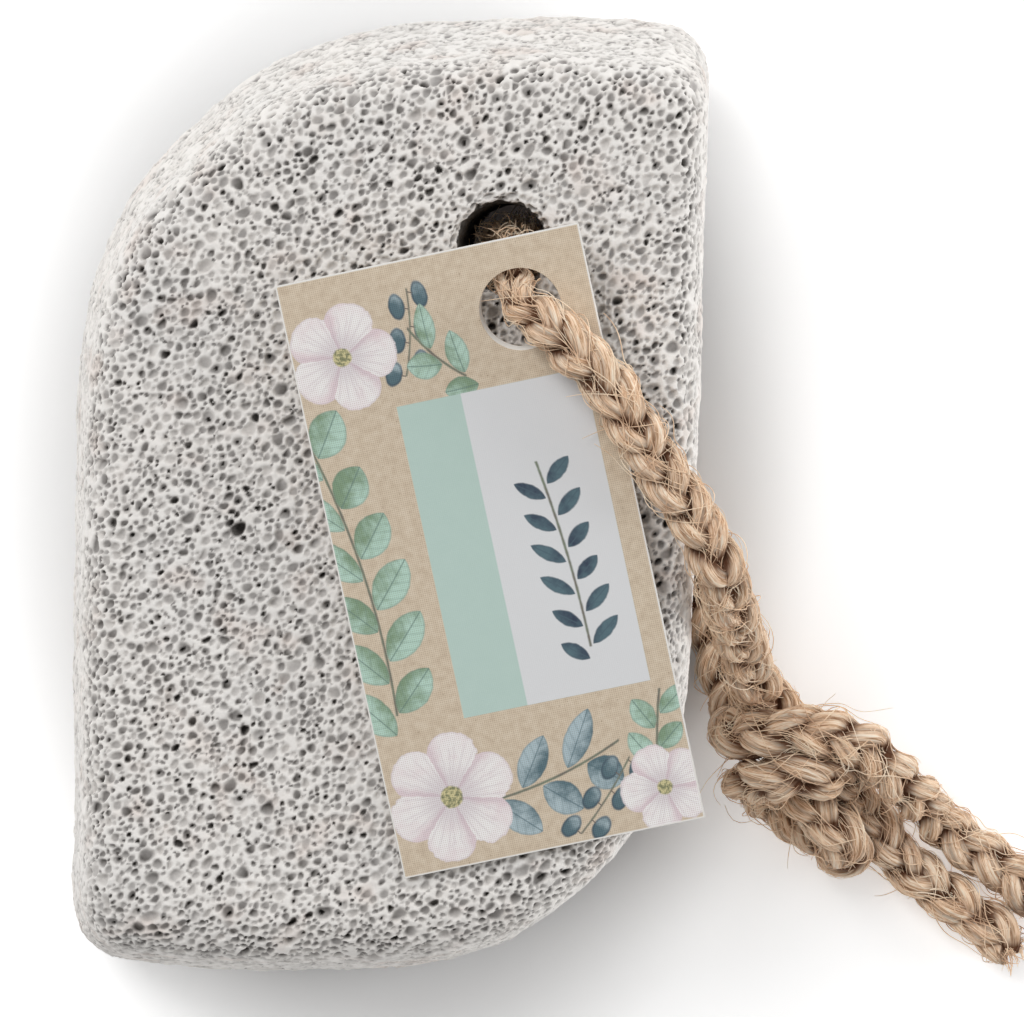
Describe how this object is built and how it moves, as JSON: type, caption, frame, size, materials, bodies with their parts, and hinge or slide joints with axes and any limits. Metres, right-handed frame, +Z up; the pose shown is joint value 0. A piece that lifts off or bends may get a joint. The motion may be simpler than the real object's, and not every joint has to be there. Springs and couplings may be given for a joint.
{
  "type": "pumice stone",
  "caption": "Flat-backed pumice foot stone with a drilled hole, a plaited jute hanging loop tied in an overhand knot, and a card swing tag.",
  "frame": {"origin": "on the resting surface, under the middle of the stone and tag's box", "axes": "+Z up from the resting surface, +Y along the stone towards its drilled end, +X to the side that the loop hangs over"},
  "size_m": [0.104, 0.0999, 0.0438],
  "materials": {
    "pumice": "open-pored, matt",
    "jute": "plaited yarn with loose fibres",
    "card": "printed board with white cut edges"
  },
  "bodies": {
    "root": {"stone": "pumice", "cord": "jute", "tag": "card"}
  },
  "joints": []
}
